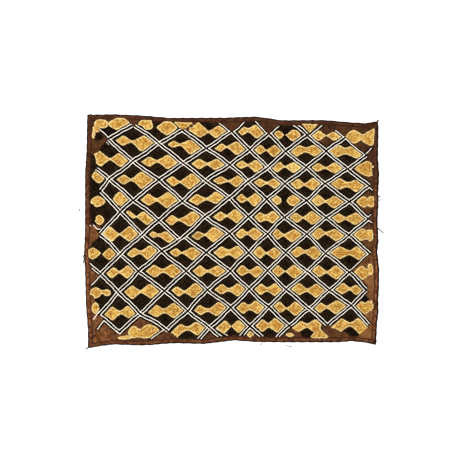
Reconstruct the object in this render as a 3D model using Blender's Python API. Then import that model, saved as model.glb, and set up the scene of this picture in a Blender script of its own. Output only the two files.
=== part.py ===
# A Kuba cut-pile raffia panel lying flat: one woven cloth with a turned hem. Diamond blocks of cut
# pile stand up from its ground, and the stitched bands between them lie low.
# Lengths are in millimetres here and become metres when the mesh is made. The origin is at the
# middle of the underside, +X along the longer side and +Z up.

import bmesh
import bpy
import numpy as np

MM = 0.001

# Heights above the surface that the cloth lies on
GROUND_TOP = 1.2
PILE_TOP = 3.0
SEAM_TOP = 1.0

# The turned hem, from the outer edge inwards: how far in, and how high the folded cloth is there
HEM_PROFILE = (
    # share of the hem's width, height
    (0.00, 1.5),
    (0.35, 2.8),
    (0.80, 2.3),
    (1.00, SEAM_TOP),
)
SIDE_HEM_WIDTH = 11.0
END_HEM_WIDTH = 9.0

# The four edges, which wander: how far along the side, and how far out the edge lies there
TOP_EDGE = (
    # x, y
    (-298, 240),
    (-244, 243),
    (-186, 240),
    (-128, 235),
    (-11, 234),
    (40, 236),
    (105, 230),
    (192, 230),
    (250, 225),
    (279, 224),
    (302, 228),
)
BOTTOM_EDGE = (
    # x, y
    (-298, -241),
    (-273, -236),
    (-244, -233),
    (-157, -232),
    (-100, -229),
    (-58, -232),
    (-11, -227),
    (76, -226),
    (105, -228),
    (221, -228),
    (250, -226),
    (279, -230),
    (300, -234),
)
LEFT_EDGE = (
    # y, x
    (-241, -298),
    (-205, -298),
    (-155, -302),
    (-80, -304),
    (-45, -306),
    (0, -304),
    (120, -304),
    (165, -300),
    (240, -298),
)
RIGHT_EDGE = (
    # y, x
    (-234, 298),
    (-190, 300),
    (-150, 302),
    (-118, 304),
    (-60, 300),
    (-20, 302),
    (20, 300),
    (60, 302),
    (118, 304),
    (150, 302),
    (228, 302),
)

# The stitched lattice is drawn by eye, so its columns and rows lean, bow and vary in width
COLUMNS = (
    # column, x at the top, in the middle and at the bottom
    (-1, -282, -274, -264),
    (0, -254, -240, -233),
    (1, -203, -196, -187),
    (2, -148, -150, -135),
    (3, -97, -101, -88),
    (4, -52, -54, -46),
    (5, -1, -4, 0),
    (6, 38, 35, 39),
    (7, 77, 74, 79),
    (8, 113, 110, 119),
    (9, 157, 156, 162),
    (10, 196, 195, 199),
    (11, 236, 243, 248),
    (12, 275, 284, 282),
)
ROWS = (
    # row, y at the left, in the middle and at the right
    (-1, 264, 240, 225),
    (0, 227, 206, 193),
    (1, 191, 169, 161),
    (2, 147, 136, 127),
    (3, 108, 103, 95),
    (4, 66, 66, 58),
    (5, 32, 29, 26),
    (6, -6, -6, -9),
    (7, -45, -45, -47),
    (8, -84, -83, -86),
    (9, -126, -121, -124),
    (10, -174, -159, -154),
    (11, -208, -198, -194),
    (12, -243, -236, -234),
)
# Crossings that the maker's hand pulled well out of line, which draws the lines near them along
PULLED_CROSSINGS = (
    # column, row, how far right, how far up
    (1, 2, -4, 0),
    (0, 3, -7, 0),
    (-1, 4, 4, 19),
    (1, 4, -5, -2),
    (0, 5, 9, 8),
    (2, 5, -1, -8),
    (1, 6, 10, -1),
    (3, 6, 3, -5),
    (0, 7, 7, -2),
    (9, 10, 1, -6),
    (12, 9, -7, 0),
)
FIRST_COLUMN = -1
LAST_COLUMN = 12
FIRST_ROW = 0
LAST_ROW = 11

# Points of the mesh between one column or row and the next. With four, every stitched line runs
# along the diagonals of the faces.
STEPS = 4

# Diamonds at the border, by the column and row in their middle: where the ground is left bare, and
# where only the ochre pile was worked
BARE_CELLS = {
    *((1, -1), (5, -1), (7, -1), (11, -1)),
    *((-1, 1), (-2, 6), (-2, 8), (-1, 11)),
    *((0, 12), (2, 12), (4, 12), (10, 12), (12, 12)),
}
OCHRE_ONLY_CELLS = {(10, 0), (12, 0), (12, 2), (12, 4), (12, 6), (12, 8)}

# Linear colours and roughness of what the cloth is made of
MATERIALS = (
    # name, colour, roughness
    ("raffia_ground", (0.145, 0.056, 0.022), 0.85),
    ("raffia_hem", (0.165, 0.060, 0.028), 0.80),
    ("ochre_pile", (0.679, 0.397, 0.100), 0.90),
    ("black_pile", (0.017, 0.009, 0.004), 0.90),
)
GROUND, HEM, OCHRE, BLACK = range(4)


def through_three(first, middle, last, share):
    """The smooth curve through a start, a middle and an end value, at a share of the way."""
    bow = middle - (first + last) / 2
    return first + (last - first) * share + 4 * bow * share * (1 - share)


def along_edge(edge, place):
    """How far out one edge of the cloth lies at a place along it."""
    places, outs = np.array(edge, dtype=float).T
    return float(np.interp(place, places, outs))


def lattice_place(column, row):
    """The x and y where a column and a row of the lattice cross, whole or not."""
    columns = np.array(COLUMNS, dtype=float)
    down = (row - FIRST_ROW) / (LAST_ROW - FIRST_ROW)
    across = through_three(columns[:, 1], columns[:, 2], columns[:, 3], down)
    x = float(np.interp(column, columns[:, 0], across))
    rows = np.array(ROWS, dtype=float)
    heights = through_three(rows[:, 1], rows[:, 2], rows[:, 3], column / LAST_COLUMN)
    y = float(np.interp(row, rows[:, 0], heights))
    for pulled_column, pulled_row, right, up in PULLED_CROSSINGS:
        nearness = max(0, 1 - abs(column - pulled_column)) * max(0, 1 - abs(row - pulled_row))
        x += right * nearness
        y += up * nearness
    return x, y


def cell_of(column, row):
    """The diamond that holds a place of the lattice, and where in it the place lies."""
    across = (column + row + 1) / 2
    down = (column - row + 1) / 2
    across_cell = np.floor(across)
    down_cell = np.floor(down)
    middle = (int(across_cell + down_cell), int(across_cell - down_cell))
    return middle, across - across_cell - 0.5, down - down_cell - 0.5


def material_of(column, row):
    """Ochre pile to the left and right of a diamond's middle, black pile above and below it."""
    middle, across, down = cell_of(column, row)
    if middle in BARE_CELLS:
        return GROUND
    if across * down > 0:
        return OCHRE
    return GROUND if middle in OCHRE_ONLY_CELLS else BLACK


def on_band(column, row):
    """Whether a place lies on one of the stitched bands, which cross where column and row differ
    by an odd number."""
    across = (column + row + 1) / 2
    down = (column - row + 1) / 2
    return across == round(across) or down == round(down)


def height_at(column, row):
    """The height of the cloth's face at a point of the lattice."""
    bare = on_band(column, row) or material_of(column, row) == GROUND
    return GROUND_TOP if bare else PILE_TOP


class Line:
    """One column or row of the mesh: a line of the lattice, or one between the lattice and the
    edge of the cloth, which lies half way to the hem or at a share of the hem's width."""

    def __init__(self, place, side=None, hem_share=None, height=None):
        self.place = place
        self.side = side
        self.hem_share = hem_share
        self.height = height

    def in_hem(self):
        return self.hem_share is not None


def mesh_lines(first, last, first_side, last_side):
    """The lines of the mesh from one edge of the cloth to the other."""
    margin = 1 / STEPS
    lines = [Line(first - 2 * margin, first_side, share, height) for share, height in HEM_PROFILE]
    lines.append(Line(first - margin, first_side))
    lines += [Line(first + step / STEPS) for step in range((last - first) * STEPS + 1)]
    lines.append(Line(last + margin, last_side))
    lines += [Line(last + 2 * margin, last_side, share, height) for share, height in reversed(HEM_PROFILE)]
    return lines


def settled(line, by_lattice, along):
    """Where a line of the mesh lies, given its place by the lattice and how far along its side."""
    if line.side is None:
        return by_lattice
    edge, inwards = line.side
    outside = along_edge(edge, along)
    if line.in_hem():
        return outside + inwards * line.hem_share
    return (by_lattice + outside + inwards) / 2


def point_of(column_line, row_line):
    """Where a column of the mesh crosses a row of it, as x, y and z."""
    column = min(max(column_line.place, FIRST_COLUMN), LAST_COLUMN)
    row = min(max(row_line.place, FIRST_ROW), LAST_ROW)
    lattice_x, lattice_y = lattice_place(column, row)
    rough_x = settled(column_line, lattice_x, lattice_y)
    y = settled(row_line, lattice_y, rough_x)
    x = settled(column_line, lattice_x, y)
    hem_heights = [line.height for line in (column_line, row_line) if line.height is not None]
    z = min(hem_heights) if hem_heights else height_at(column_line.place, row_line.place)
    return x * MM, y * MM, z * MM


def rises_across(column, row):
    """Whether the stitched line across the face that starts at this place rises to the right."""
    return round((column + row) * STEPS + 1) % STEPS == 0


def make_face(body, grid, columns, rows):
    """The cloth's face, with each square split along the stitched line that crosses it."""
    near = 1 / (3 * STEPS)
    far = 2 / (3 * STEPS)
    for upper, lower, row_line, next_row_line in zip(grid, grid[1:], rows, rows[1:]):
        for i, (column_line, next_column_line) in enumerate(zip(columns, columns[1:])):
            column = column_line.place
            row = row_line.place
            in_side_hem = column_line.in_hem() and next_column_line.in_hem()
            in_end_hem = row_line.in_hem() and next_row_line.in_hem()
            if rises_across(column, row):
                halves = (
                    ((upper[i], lower[i], upper[i + 1]), (column + near, row + near)),
                    ((upper[i + 1], lower[i], lower[i + 1]), (column + far, row + far)),
                )
            else:
                halves = (
                    ((upper[i], lower[i], lower[i + 1]), (column + near, row + far)),
                    ((upper[i], lower[i + 1], upper[i + 1]), (column + far, row + near)),
                )
            for points, place in halves:
                face = body.faces.new(points)
                face.material_index = HEM if in_side_hem or in_end_hem else material_of(*place)


def make_rim_and_underside(body, grid):
    """The upright edge round the cloth, and the flat underside that it rests on."""
    top = grid[0]
    right = [points[-1] for points in grid[1:]]
    bottom = grid[-1][-2::-1]
    left = [points[0] for points in grid[-2:0:-1]]
    rim = top + right + bottom + left
    feet = [body.verts.new((point.co.x, point.co.y, 0)) for point in rim]
    for number, point in enumerate(rim):
        following = (number + 1) % len(rim)
        wall = body.faces.new((point, rim[following], feet[following], feet[number]))
        wall.material_index = HEM
    body.faces.new(feet[::-1])


def make_cloth():
    columns = mesh_lines(
        FIRST_COLUMN, LAST_COLUMN, (LEFT_EDGE, SIDE_HEM_WIDTH), (RIGHT_EDGE, -SIDE_HEM_WIDTH)
    )
    rows = mesh_lines(FIRST_ROW, LAST_ROW, (TOP_EDGE, -END_HEM_WIDTH), (BOTTOM_EDGE, END_HEM_WIDTH))
    body = bmesh.new()
    grid = [[body.verts.new(point_of(column, row)) for column in columns] for row in rows]
    make_face(body, grid, columns, rows)
    make_rim_and_underside(body, grid)
    bmesh.ops.recalc_face_normals(body, faces=body.faces)
    mesh = bpy.data.meshes.new("cloth")
    body.to_mesh(mesh)
    body.free()
    cloth = bpy.data.objects.new("cloth", mesh)
    bpy.context.scene.collection.objects.link(cloth)
    return cloth


def make_materials(cloth):
    for name, colour, roughness in MATERIALS:
        material = bpy.data.materials.new(name)
        material.use_nodes = True
        surface = material.node_tree.nodes["Principled BSDF"]
        surface.inputs["Base Color"].default_value = (*colour, 1)
        surface.inputs["Metallic"].default_value = 0
        surface.inputs["Roughness"].default_value = roughness
        cloth.data.materials.append(material)


def clear_scene():
    for thing in list(bpy.data.objects):
        bpy.data.objects.remove(thing, do_unlink=True)


clear_scene()
make_materials(make_cloth())
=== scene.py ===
# A Kuba cut-pile raffia panel lying flat on a pale floor, seen from straight above.
# Lengths are in millimetres here and become metres when a mesh is made. The origin is at the
# middle of the underside, +X along the longer side and +Z up.

import bpy
import numpy as np
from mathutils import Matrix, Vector


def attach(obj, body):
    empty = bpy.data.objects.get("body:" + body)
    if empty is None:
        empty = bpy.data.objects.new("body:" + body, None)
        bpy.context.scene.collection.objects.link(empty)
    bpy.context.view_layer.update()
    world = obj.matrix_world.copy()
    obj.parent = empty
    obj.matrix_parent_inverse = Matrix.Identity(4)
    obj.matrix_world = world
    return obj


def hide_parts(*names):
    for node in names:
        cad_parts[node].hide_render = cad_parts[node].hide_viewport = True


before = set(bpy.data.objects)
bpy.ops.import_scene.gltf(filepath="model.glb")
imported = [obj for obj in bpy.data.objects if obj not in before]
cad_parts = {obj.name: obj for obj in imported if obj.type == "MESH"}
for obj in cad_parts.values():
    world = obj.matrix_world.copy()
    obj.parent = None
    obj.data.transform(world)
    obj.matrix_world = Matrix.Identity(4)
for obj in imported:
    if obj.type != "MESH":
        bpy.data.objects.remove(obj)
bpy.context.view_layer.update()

MM = 0.001
DRAWS = np.random.default_rng(7)

# The size that the panel was cut and hemmed to, in metres
FLAT_SIZE = (0.610, 0.483)

# Heights above the floor
GROUND_TOP = 1.2
PILE_TOP = 3.0
SEAM_TOP = 0.9

# The four edges, which wander: how far along the side, and how far out the edge lies there
TOP_EDGE = (
    # x, y
    (-298, 241.5), (-244, 242.5), (-186, 240), (-128, 235), (-11, 235.5), (40, 237.5),
    (54, 237.5), (105, 230), (192, 230.5), (250, 225.5), (279, 224), (302, 228),
)
BOTTOM_EDGE = (
    # x, y
    (-298, -243.5), (-273, -239), (-244, -235.5), (-194, -237.5), (-169, -237), (-144, -234.5),
    (-119, -233), (-94, -233.5), (-58, -234.5), (-19, -230), (5, -227), (30, -229), (54, -230.5),
    (105, -231), (221, -231), (250, -228.5), (279, -232), (300, -236),
)
LEFT_EDGE = (
    # y, x
    (-241, -298), (-205, -298), (-155, -302), (-80, -304), (-45, -306), (0, -304), (120, -304),
    (165, -301), (240, -299.5),
)
RIGHT_EDGE = (
    # y, x
    (-234, 300), (-192, 302), (-168, 305), (-143, 304.5), (-118, 306), (-76, 306.5), (-66, 305),
    (-43, 302.5), (-20, 305), (20, 303), (56, 305), (80, 304.5), (118, 306.5), (150, 304),
    (205, 305), (228, 304.5),
)

# The turned hem
SIDE_HEM_WIDTH = 9.6
END_HEM_WIDTH = 9.0
HEM_PROFILE = (
    # share of the hem's width, height
    (0.00, 0.9), (0.04, 1.5), (0.12, 2.2), (0.35, 2.8), (0.62, 2.6), (0.80, 2.2), (0.93, 1.4),
    (1.00, SEAM_TOP), (1.10, GROUND_TOP),
)
HEM_LINES = (0.0, 0.04, 0.12, 0.22, 0.35, 0.48, 0.62, 0.80, 0.93, 1.0, 1.1)
RIM_INSET = 0.6
GROUND_STEP = 2.6

# Where the hem ends, and how its outer edge is worn and darkened and its seam darkened. The dark
# outer edge is partly dark thread and partly painted shade on the falling side of the rolled fold,
# and it is wider on the right edge as painted shadow on the side of the fold turned from the lamp.
# These are shares of the hem's width, but for the wear, which is how steeply it fades, the jag in
# millimetres, how dark the seam is, and the x where the right edge begins.
HEM_END = HEM_LINES[-1]
EDGE_WEAR = 8
EDGE_JAG = 0.3
DARK_RIM = 0.36
SHADED_RIM_RIGHT = 0.47
DARK_RIM_FADE = 0.14
RIGHT_EDGE_START = 290
SEAM_PLACE = 0.98
SEAM_SPREAD = 0.09
SEAM_DARKNESS = 0.85

# How high the hem and the open cloth swell
HEM_SWELL = 0.12
CLOTH_SWELL = 0.05

# The overcast stitches of the hem: their step and how uneven it is, how far from a corner they
# begin, their reach along the seam, and their reach out and in as shares of the hem's width
HEM_STEP = 4.6
HEM_STEP_SPREAD = 0.5
HEM_CORNER = 9
HEM_REACH = 1.2
HEM_REACH_OUT = 0.14
HEM_REACH_IN = 0.05

# How far apart the tufts stand, how uneven that is as a share of it, how far from the middle they
# are laid out, and how far in from its rim the outermost row of a patch lies
TUFT_PITCH = 2.15
TUFT_SPREAD = 0.13
GRID_HALF_WIDTH = 308
GRID_HALF_HEIGHT = 245
RIM_ROW = 1.1

# Tufts this near to the rim, as a share of the pitch, are drawn up to it. The rim is felt for a
# little to the right and above, and left alone where the depth changes too little or too fast.
RIM_CATCH = 0.45
RIM_PROBE = 0.2
LEAST_STEEPNESS = 0.3
MOST_STEEPNESS = 2

# How far ochre tufts keep inside the rim of their patch, and black ones from the ochre and the seam
OCHRE_INSET = 0.5
BLACK_INSET = 0.6
BLACK_SEAM_GAP = 1.2

# How much single tufts vary in tone within their diamond
TUFT_TONE_SPREAD = 0.5

# The stitched lattice is drawn by eye, so its columns and rows lean, bow and vary in width
COLUMNS = (
    # column, x at the top, in the middle and at the bottom
    (-3, -340, -350, -345), (-2, -310, -312, -305), (-1, -282, -274, -264), (0, -254, -240, -233),
    (1, -203, -196, -187), (2, -148, -150, -135), (3, -97, -101, -88), (4, -52, -54, -46),
    (5, -1, -4, 0), (6, 38, 35, 39), (7, 77, 74, 79), (8, 113, 110, 119), (9, 157, 156, 162),
    (10, 196, 195, 199), (11, 236, 243, 248), (12, 275, 284, 282), (13, 315, 325, 322),
)
ROWS = (
    # row, y at the left, in the middle and at the right
    (-2, 300, 274, 257), (-1, 264, 240, 225), (0, 227, 206, 193), (1, 191, 169, 161),
    (2, 147, 136, 127), (3, 108, 103, 95), (4, 66, 66, 58), (5, 32, 29, 26), (6, -6, -6, -9),
    (7, -45, -45, -47), (8, -84, -83, -86), (9, -126, -121, -124), (10, -174, -159, -154),
    (11, -208, -198, -194), (12, -243, -236, -234), (13, -280, -274, -274),
)
PULLED_CROSSINGS = (
    # column, row, how far right, how far up
    (-1, 0, -8, -12), (1, 0, 0, -2), (3, 0, -4, -5), (5, 0, 1, -2), (0, 1, -5, 0), (4, 1, 1, -3),
    (10, 1, 1, 3), (12, 1, 2.5, -4.3), (-1, 2, -19, -5), (1, 2, -4, 0), (11, 2, 3, 0),
    (7, 2, 0, -3), (0, 3, -7, 0), (8, 3, 1, -3), (12, 3, 5, -2), (-1, 4, 4, 19), (1, 4, -5, -2),
    (3, 4, -1, -4), (5, 4, 0, 3), (11, 4, 3, 0), (0, 5, 9, 8), (2, 5, -1, -8), (1, 6, 10, -1),
    (3, 6, 3, -5), (-2, 7, 0, -13), (0, 7, 7, -2), (2, 7, 3, 3), (12, 7, 3, 0), (-1, 8, -2, -3),
    (3, 8, 3, 0), (2, 9, 3, 0), (10, 9, 6, 0), (12, 9, -4, 2), (-1, 10, -9, 3), (5, 10, 1, 2),
    (9, 10, 1, -6), (12, 11, 3, 0),
)
# Stretches of band that stray from the crossings they join
STRAYED_BANDS = (
    # column, row, how far right and up that end strays, and the same for the other end
    (2, 5, 0, 0, 3, 6, -14, -4),
    (-2, 11, 10, -9, -1, 10, 10, -9),
)
FIRST_ROW = 0
LAST_ROW = 11
LAST_COLUMN = 12

# Rows of stitching beside the middle of each band
DARK_ROW = 0.85
PALE_ROW = 2.95
OUTLINE_ROW = 4.95
SECOND_OUTLINE_ROW = 6.4
PILE_START = 6.3
CHEVRON_ROWS = (6.6, 8.4, 10.2, 12.0)
BLACK_PILE_START = 12.6

# Heights of the rows of stitching
PALE_HEIGHT = GROUND_TOP + 0.45
CROSSED_HEIGHT = GROUND_TOP + 0.6
ODD_LINE_HEIGHT = GROUND_TOP + 0.5
DARK_HEIGHT = GROUND_TOP + 0.2
CHEVRON_HEIGHT = GROUND_TOP + 0.35
HEM_STITCH_HEIGHT = GROUND_TOP + 0.55

# How far inside the seam the pale rows, the dark rows and the filling stop, and how much further
# some of them stop
PALE_MARGIN = 2.2
DARK_MARGIN = 1.8
FILLED_MARGIN = 0.5
RAGGED_MARGIN = 3.0

# The tones of the rows. A plain row is black in dark thread and clean in pale thread. Up to a tone
# of 1, dark thread is browner and pale thread more worn.
PLAIN_TONE = 0.0
BROWNISH_TONE = 0.1
BROWN_TONE = 0.75
ROW_TONE_SPREAD = 0.1

# The points along a row of stitches, and the ripple of the row
LINE_STEP = 0.9
RIPPLE = 0.35
RIPPLE_LENGTH = 3.0
STITCH_SIDES = 4

# How far in from the seam bare cloth can lie, and how far a diamond can reach past its crossings
WIDEST_MARGIN = 60
LARGEST_STRAY = 9

# Stands for a depth or a distance where there is no rim or band, and how far bare and black
# patches keep the ochre off
FAR = 99.0
PATCH_CLEARANCE = 2

# Crossings where one band runs over the other
RISING_OVER = ((1, 2), (0, 3), (7, 2), (5, 4), (4, 5), (6, 3), (3, 6), (1, 6), (0, 7))
FALLING_OVER = ((3, 2), (4, 3), (2, 1), (0, 9), (1, 10), (2, 11), (9, 8), (9, 10), (4, 11))

# Diamonds at the border. The letters say what lies to the left, above, to the right of and below
# the middle: O for ochre pile, B for black pile and - for bare cloth. The sides are those that
# have a stitched band. Diamonds that are not listed are common, or bare in the outermost ring.
ALL_SIDES = "tl tr br bl"
COMMON_CELL = ("OBOB", ALL_SIDES)
BARE_CELL = ("----", "")
RING_COLUMNS = (-2, 13)
RING_ROWS = (-1, 12)
SIDE_ENDS = {
    "tl": ("left", "top"),
    "tr": ("top", "right"),
    "br": ("right", "bottom"),
    "bl": ("bottom", "left"),
}
BORDER_CELLS = (
    # column, row, pile, sides
    (-1, -1, "OBOB", ALL_SIDES), (9, -1, "----", "bl"), (0, 0, "----", "br bl"),
    (2, 0, "BBBB", "br bl"), (4, 0, "OBOB", "tr br bl"), (8, 0, "BBBB", ALL_SIDES),
    (10, 0, "O-O-", ALL_SIDES), (12, 0, "----", "br"), (-1, 1, "----", ""),
    (0, 2, "OBOB", "tr br bl"), (12, 2, "----", "tl bl"), (-1, 3, "BBBB", "tr br"),
    (-2, 4, "BBBB", ""), (0, 4, "BBBB", ALL_SIDES), (8, 4, "BBBB", ALL_SIDES),
    (12, 4, "----", ALL_SIDES), (-1, 5, "BBBB", "tr br"), (12, 6, "----", ALL_SIDES),
    (-1, 7, "BBBB", "tr br bl"), (-2, 8, "----", "tr"), (12, 8, "----", "bl"),
    (-1, 9, "BBBB", "tl tr br"), (12, 10, "----", "tl bl"), (-1, 11, "----", "tl tr"),
    (1, 11, "----", "tl tr br"), (3, 11, "OBOB", "tl tr br"), (9, 11, "OBOB", "tl tr"),
    (11, 11, "OBOB", "tl tr"), (4, 12, "----", "tl tr"), (6, 12, "O-O-", "tl tr"),
    (8, 12, "----", "tl"),
)

# How each diamond's ochre pile meets in the middle, where it differs from the common way
NECKS = (
    # column, row, half the neck's thickness, how far right of and above the middle
    (4, 0, 2.2, 0.06, -0.10), (6, 0, 3.5, -0.10, 0.08), (10, 0, 0.6, 0.02, 0.02),
    (7, 1, 1.2, -0.06, 0.0), (9, 1, 4.6, -0.05, 0.10), (11, 1, 5.6, -0.05, 0.16),
    (0, 2, 1.8, 0.04, 0.02), (4, 2, 2.4, 0.05, -0.02), (11, 3, 4.6, -0.05, 0.05),
    (4, 4, 2.4, 0.03, -0.02), (7, 5, 4.6, -0.08, 0.0), (0, 6, 1.6, -0.04, -0.05),
    (6, 6, 2.4, -0.04, 0.08), (10, 6, 2.4, -0.04, 0.10), (1, 7, 3.2, -0.05, 0.0),
    (5, 7, 4.6, 0.0, 0.02), (7, 7, 1.5, -0.03, 0.0), (11, 7, 4.0, 0.0, 0.05),
    (0, 8, 2.0, -0.02, 0.0), (2, 8, 3.5, 0.0, 0.0), (4, 8, 2.0, 0.04, 0.0),
    (6, 8, 2.5, 0.02, 0.0), (8, 8, 0.6, -0.08, 0.0), (1, 9, 2.4, 0.005, 0.0),
    (5, 9, 3.0, -0.04, 0.0), (7, 9, 3.4, -0.08, 0.0), (9, 9, 3.0, -0.08, 0.0),
    (11, 9, 2.5, 0.05, 0.0), (0, 10, 3.0, 0.03, 0.0), (2, 10, 4.2, 0.0, 0.0),
    (4, 10, 3.0, -0.05, -0.06), (6, 10, 4.4, -0.06, 0.02), (10, 10, 2.5, -0.13, 0.0),
    (3, 11, 3.6, -0.06, 0.0), (5, 11, 0.5, 0.0, 0.02), (7, 11, 3.8, -0.06, 0.06),
    (9, 11, 3.5, -0.10, 0.0), (11, 11, 3.2, 0.02, 0.0),
)

# The common diamond: each measure, and how much it varies from one diamond to the next
COMMON_DIAMOND = {
    "neck_across": (-0.08, 0.03),
    "neck_up": (0.0, 0.035),
    "left_slope": (0.96, 0.07),
    "right_slope": (0.94, 0.07),
    "lean": (-0.05, 0.06),
    "tone": (0.0, 0.16),
    "neck": (2.0, 0.5),
}
THINNEST_NECK = 0.3
LOBE_ROUNDING = 4.5

# How wide the two lobes open, and how much further the left one keeps from its bands than the right
LOBES = (
    # column, row, left slope, right slope, left room
    (4, 0, 1.15, 0.94, 1.0), (1, 1, 0.96, 1.08, 3.0), (11, 1, 0.96, 0.94, -1.5),
    (3, 5, 0.96, 0.78, 3.0), (0, 6, 1.0, 0.85, -2.0), (8, 6, 0.96, 0.85, 0.3),
    (10, 6, 1.05, 0.8, 0.3), (7, 7, 0.96, 0.85, 0.3), (0, 8, 1.0, 0.85, 3.0),
    (4, 8, 0.95, 0.8, 3.0), (9, 9, 0.96, 0.85, 0.3), (0, 10, 1.05, 0.75, 1.5),
    (10, 10, 0.96, 0.82, 0.3), (3, 11, 0.96, 0.94, 4.5), (9, 11, 0.75, 0.9, 1.3),
    (11, 11, 0.85, 0.94, 2.2),
)

# The common left room, which is wider at the left of the cloth than at the right
ROOM_COLUMNS = (5, 8)
ROOMS = (3.0, 0.3)
ROOM_SPREAD = 0.5

# Patches that the maker worked out of the common order, each a rounded shape. A corner power of 1
# is a diamond, 2 an ellipse and 4 nearly a box.
PATCHES = (
    # pile, x, y, half width, half height, corner power
    ("B", -252, 206.5, 20, 16, 1.2), ("B", -276, 195, 10, 7.5, 1.8),
    ("O", -233, 222, 24, 13.5, 1.3), ("O", -270.5, 222, 15, 9.6, 2.6),
    ("O", -281.3, 211.5, 7.4, 7.5, 2.6), ("O", -286, 199.5, 3.2, 8.5, 2.4),
    ("-", -201, 221, 6, 9, 1.6), ("-", -125, 229, 20, 6, 1.6), ("O", -178, 220, 15.5, 11.5, 1.8),
    ("O", -173, 225.5, 8.5, 6.5, 2.6), ("B", -190, 210.5, 11, 9.5, 1.6),
    ("O", -169.5, 215.5, 7.5, 6.5, 1.4), ("O", -134, 214, 21.5, 14.5, 1.3),
    ("O", -100, 224, 18, 14, 1.1), ("-", -90, 213.5, 4, 3.6, 2.0),
    ("-", -84, 218.4, 4.2, 3.4, 2.0), ("-", -78, 223, 4.2, 3.2, 2.0),
    ("-", -73, 227, 5, 3.2, 2.0), ("O", 161.4, 221, 17, 17, 1.05), ("B", -288, 132, 9, 26, 2.4),
    ("-", -284, 172, 12, 10, 2.0), ("O", -276, 113, 15, 14, 1.4), ("O", -277, 61, 15, 12, 1.5),
    ("O", -228, 66, 18, 15.5, 1.4), ("O", -274, 22, 10, 10, 1.6), ("B", -289, 36, 9, 20, 2.0),
    ("-", -284, 8, 12, 5, 2.0), ("O", -287.4, -46.7, 17, 13, 1.2),
    ("O", -253.4, -48.3, 13.7, 11.8, 1.2), ("O", -282, -129, 11.5, 11.5, 1.7),
    ("O", -259.4, -127.6, 9, 6.5, 2.0), ("O", -268, -127, 8, 4, 2.5),
    ("-", -291, -148, 8, 14, 2.0), ("O", -281, -160, 8, 12, 1.6),
    ("O", -202.7, -210.2, 12.5, 13, 1.8), ("O", -171.8, -207.5, 17.5, 13.5, 1.6),
    ("O", -187, -212, 11, 9.5, 2.5), ("O", -183, -214.5, 26, 7.5, 2.4),
    ("O", -161, -207, 11.5, 9, 1.2), ("O", -220, -220.5, 16, 4.2, 2.0),
    ("O", 97, 199, 11, 8.5, 1.6), ("O", 129, 198, 14, 12, 1.4), ("O", 114, 199, 2.4, 1.7, 2.0),
    ("O", 254.5, 195, 19, 13.5, 1.4), ("O", 268, 195.5, 8, 6.5, 2.0),
    ("O", 294, 193.6, 30, 19, 1.15), ("O", 283, 129, 28, 16, 1.25), ("-", 296, 129, 5, 22, 3.0),
    ("O", 293.6, 134.3, 2.2, 2.2, 2.0), ("O", 92, 64, 11.5, 9.5, 1.6),
    ("O", 128.5, 63, 14.5, 12, 1.5), ("O", 274.5, 60.2, 16, 11, 1.3),
    ("O", 290, 60.5, 8, 11, 3.0), ("O", 269.5, -8, 17.5, 13, 1.4), ("O", 285, -9, 8.5, 12, 2.6),
    ("-", 281.5, -20.5, 3.5, 3, 2.0), ("O", 269.8, -87.2, 17, 14.5, 1.3),
    ("O", 281, -86, 9, 7, 2.0), ("O", 287.8, -79.9, 5.6, 12.5, 2.6), ("-", 278, -74.7, 4, 4, 2.0),
    ("O", 277, -157, 20, 15, 1.3), ("O", 289.4, -155.5, 3, 12, 3.0), ("B", 277, -141, 8, 8, 1.4),
    ("-", -126, -219, 8, 9, 2.0), ("-", 194, -199, 9, 9, 2.0), ("-", 210, -214, 17, 12, 1.5),
    ("-", 230, -219, 15, 11, 1.6), ("-", 259, -223, 9, 4.5, 2.0), ("-", 131, -216, 14, 8.5, 2.5),
    ("O", 182, -219, 18, 17, 1.1), ("O", 122, -216, 9, 4.5, 1.4), ("O", 39, -213, 9, 7, 1.2),
)

# Places at the border where the bands stop short: x, y, half width and half height
UNSEWN = (
    (-286, 226, 16, 19), (-290, 138, 15, 12), (-203, 221, 3.5, 6), (-286, -207, 10, 10),
    (212, 218, 9, 10), (294, -40, 5.5, 6),
)

# Lobes of ochre that came out lighter or duller than the rest
OFF_TONES = (
    # x, y, half width, half height, lighter or duller
    (-73, -7, 13, 13, -1.0), (-223, 106, 11, 11, -0.5), (126, 132, 18, 15, 1.0),
    (90, 63, 11, 11, 0.7), (174, 62, 14, 12, 0.7),
)
PALEST = 0.45
DULLEST = 0.9

# How wide the pale rim of the ochre is
RIM_WIDTH = 1.6

# Odd lines of pale thread at the margins
ODD_PALE_LINES = (
    # x, y along each line
    ((-294, 11), (-289, 14), (-279, 4), (-273, 4)),
    ((-259, 183.5), (-256.5, 181)),
    ((-286, -181.5), (-274, -167)),
    ((-238, -207), (-232.4, -212), (-227, -207)),
    ((-31, -201.5), (-20, -208), (-9, -216)),
)

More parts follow.
